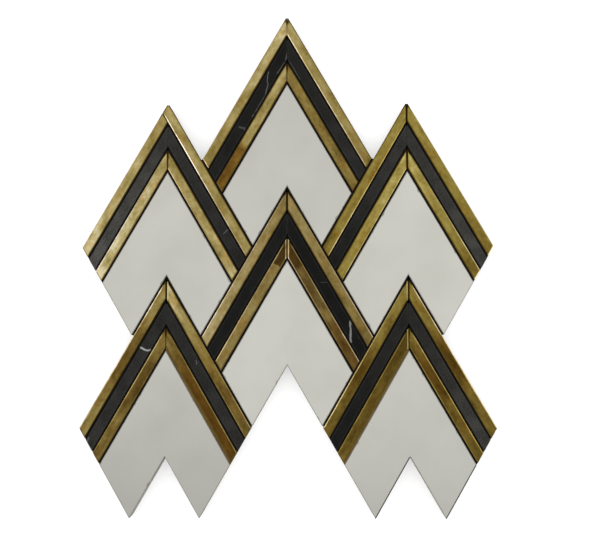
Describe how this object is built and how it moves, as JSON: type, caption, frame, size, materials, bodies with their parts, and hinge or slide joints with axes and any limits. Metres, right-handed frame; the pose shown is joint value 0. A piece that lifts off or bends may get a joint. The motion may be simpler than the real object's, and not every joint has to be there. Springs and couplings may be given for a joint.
{
  "type": "herringbone mosaic tile",
  "caption": "Mosaic sheet of interlocking chevrons: white marble arrows edged with brass bars and black marble strips, on a net, for cladding walls and floors.",
  "frame": {"origin": "under the middle of the sheet's box, on the plane of its back", "axes": "+X along the sheet's width, +Y the way the chevrons point, +Z out of the finished face"},
  "size_m": [0.2524, 0.3084, 0.01],
  "materials": {
    "white_marble": "honed",
    "black_marble": "polished",
    "brass": "aged satin",
    "glass_fibre_net": "woven, glued"
  },
  "bodies": {
    "root": {"top_outer_brass_left": "brass", "top_outer_brass_right": "brass", "top_black_strip_left": "black_marble", "top_black_strip_right": "black_marble", "top_inner_brass_left": "brass", "top_inner_brass_right": "brass", "top_white_field": "white_marble", "upper_left_outer_brass_left": "brass", "upper_left_outer_brass_right": "brass", "upper_left_black_strip_left": "black_marble", "upper_left_black_strip_right": "black_marble", "upper_left_inner_brass_left": "brass", "upper_left_inner_brass_right": "brass", "upper_left_white_field": "white_marble", "upper_right_outer_brass_left": "brass", "upper_right_outer_brass_right": "brass", "upper_right_black_strip_left": "black_marble", "upper_right_black_strip_right": "black_marble", "upper_right_inner_brass_left": "brass", "upper_right_inner_brass_right": "brass", "upper_right_white_field": "white_marble", "centre_outer_brass_left": "brass", "centre_outer_brass_right": "brass", "centre_black_strip_left": "black_marble", "centre_black_strip_right": "black_marble", "centre_inner_brass_left": "brass", "centre_inner_brass_right": "brass", "centre_white_field": "white_marble", "lower_left_outer_brass_left": "brass", "lower_left_outer_brass_right": "brass", "lower_left_black_strip_left": "black_marble", "lower_left_black_strip_right": "black_marble", "lower_left_inner_brass_left": "brass", "lower_left_inner_brass_right": "brass", "lower_left_white_field": "white_marble", "lower_right_outer_brass_left": "brass", "lower_right_outer_brass_right": "brass", "lower_right_black_strip_left": "black_marble", "lower_right_black_strip_right": "black_marble", "lower_right_inner_brass_left": "brass", "lower_right_inner_brass_right": "brass", "lower_right_white_field": "white_marble", "net_backing": "glass_fibre_net"}
  },
  "joints": []
}
